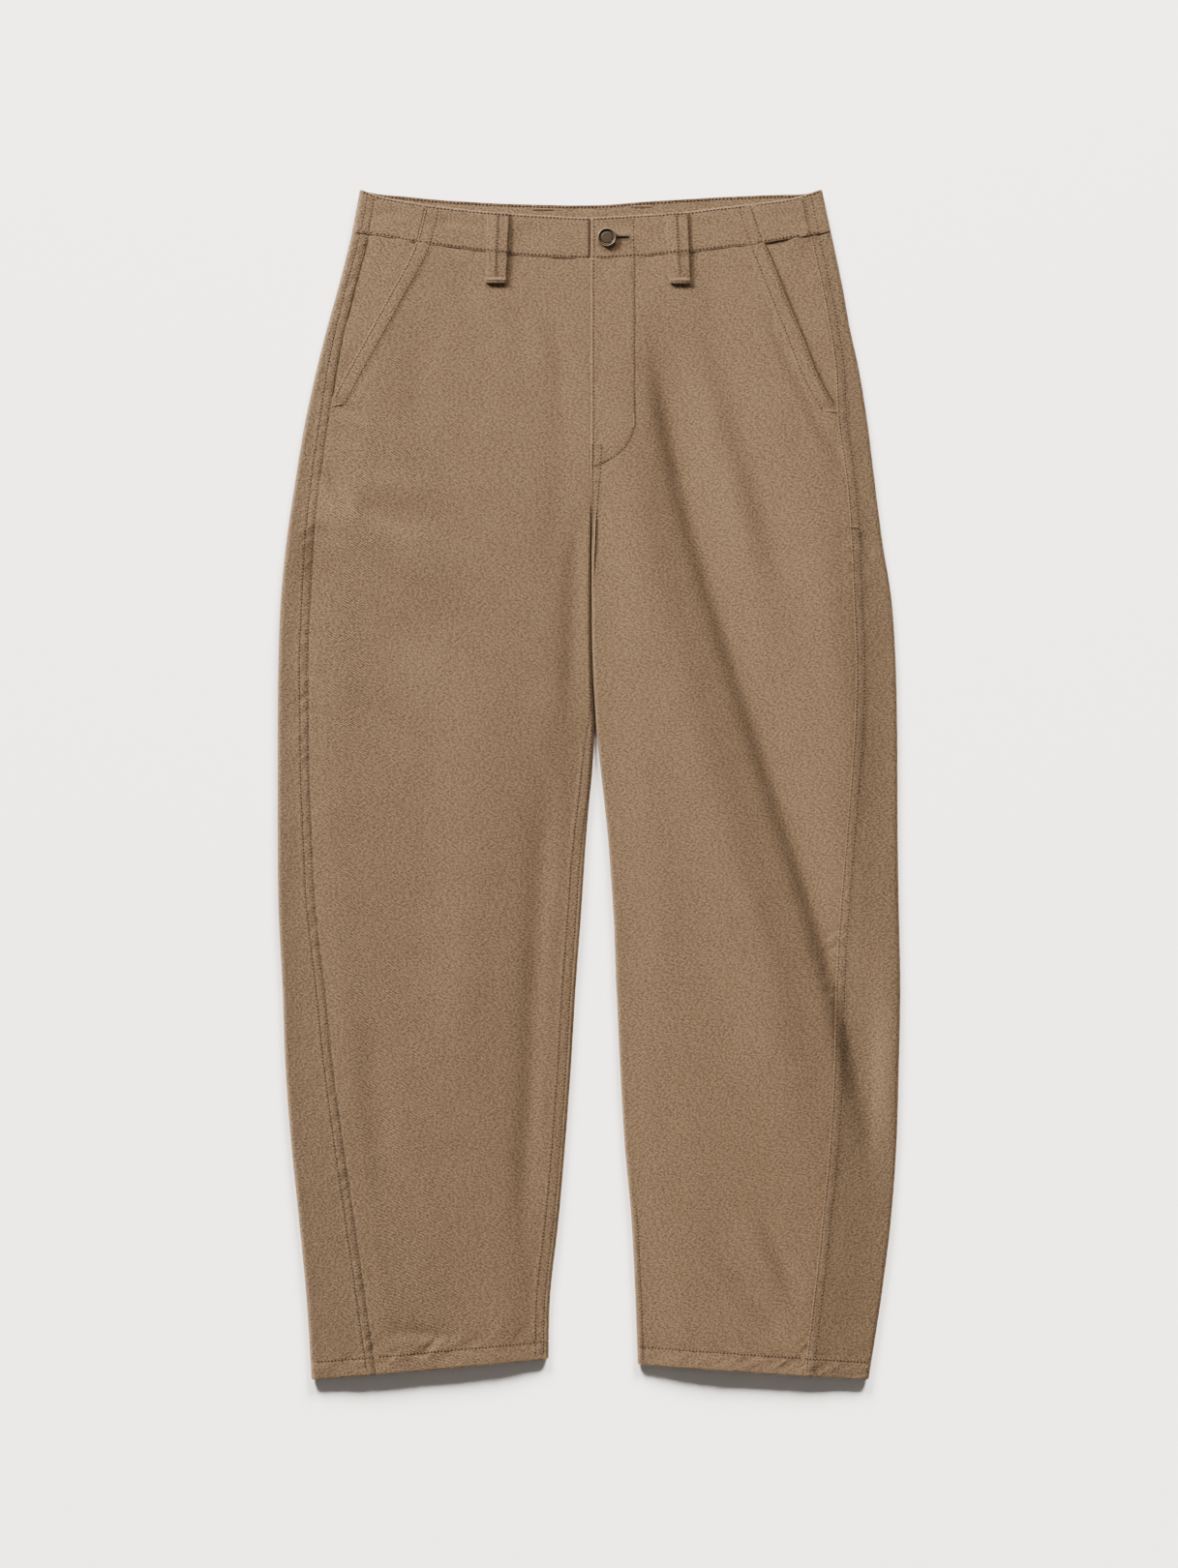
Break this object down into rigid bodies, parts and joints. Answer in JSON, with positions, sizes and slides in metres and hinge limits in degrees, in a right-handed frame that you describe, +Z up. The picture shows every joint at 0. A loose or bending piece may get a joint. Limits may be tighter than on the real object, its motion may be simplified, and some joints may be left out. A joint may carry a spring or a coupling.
{
  "type": "loose fit barrel-leg jeans, laid flat",
  "caption": "Loose barrel-leg jeans laid flat, face up, with slanting front pockets, belt loops, a zip fly and a shank button.",
  "frame": {"origin": "centre of the bounding box, on the surface that the jeans lie on", "axes": "+X to the wearer's left, +Y from the hems to the waist, +Z up out of the front"},
  "size_m": [0.5466, 1.0431, 0.0154],
  "materials": {
    "front_panel_right": "tan cotton twill, matt",
    "front_panel_left": "tan cotton twill, matt",
    "back_panel_right": "tan cotton twill, matt",
    "back_panel_left": "tan cotton twill, matt",
    "waistband_front_right": "tan cotton twill, matt",
    "waistband_front_left": "tan cotton twill, matt",
    "waistband_side_right": "tan cotton twill, matt",
    "waistband_side_left": "tan cotton twill, matt",
    "waistband_back": "tan cotton twill, matt",
    "pocket_facing_right": "tan cotton twill, matt",
    "pocket_facing_left": "tan cotton twill, matt",
    "belt_loop_front_right": "tan cotton twill, matt",
    "belt_loop_front_left": "tan cotton twill, matt",
    "belt_loop_back_right": "tan cotton twill, matt",
    "belt_loop_back_left": "tan cotton twill, matt",
    "fly_zip": "woven tape",
    "fly_shield": "tan cotton twill, matt",
    "button": "antiqued, satin"
  },
  "bodies": {
    "root": {"front_panel_right": "front_panel_right", "front_panel_left": "front_panel_left", "back_panel_right": "back_panel_right", "back_panel_left": "back_panel_left", "waistband_front_right": "waistband_front_right", "waistband_front_left": "waistband_front_left", "waistband_side_right": "waistband_side_right", "waistband_side_left": "waistband_side_left", "waistband_back": "waistband_back", "pocket_facing_right": "pocket_facing_right", "pocket_facing_left": "pocket_facing_left", "belt_loop_front_right": "belt_loop_front_right", "belt_loop_front_left": "belt_loop_front_left", "belt_loop_back_right": "belt_loop_back_right", "belt_loop_back_left": "belt_loop_back_left", "fly_zip": "fly_zip", "fly_shield": "fly_shield", "button": "button"}
  },
  "joints": []
}
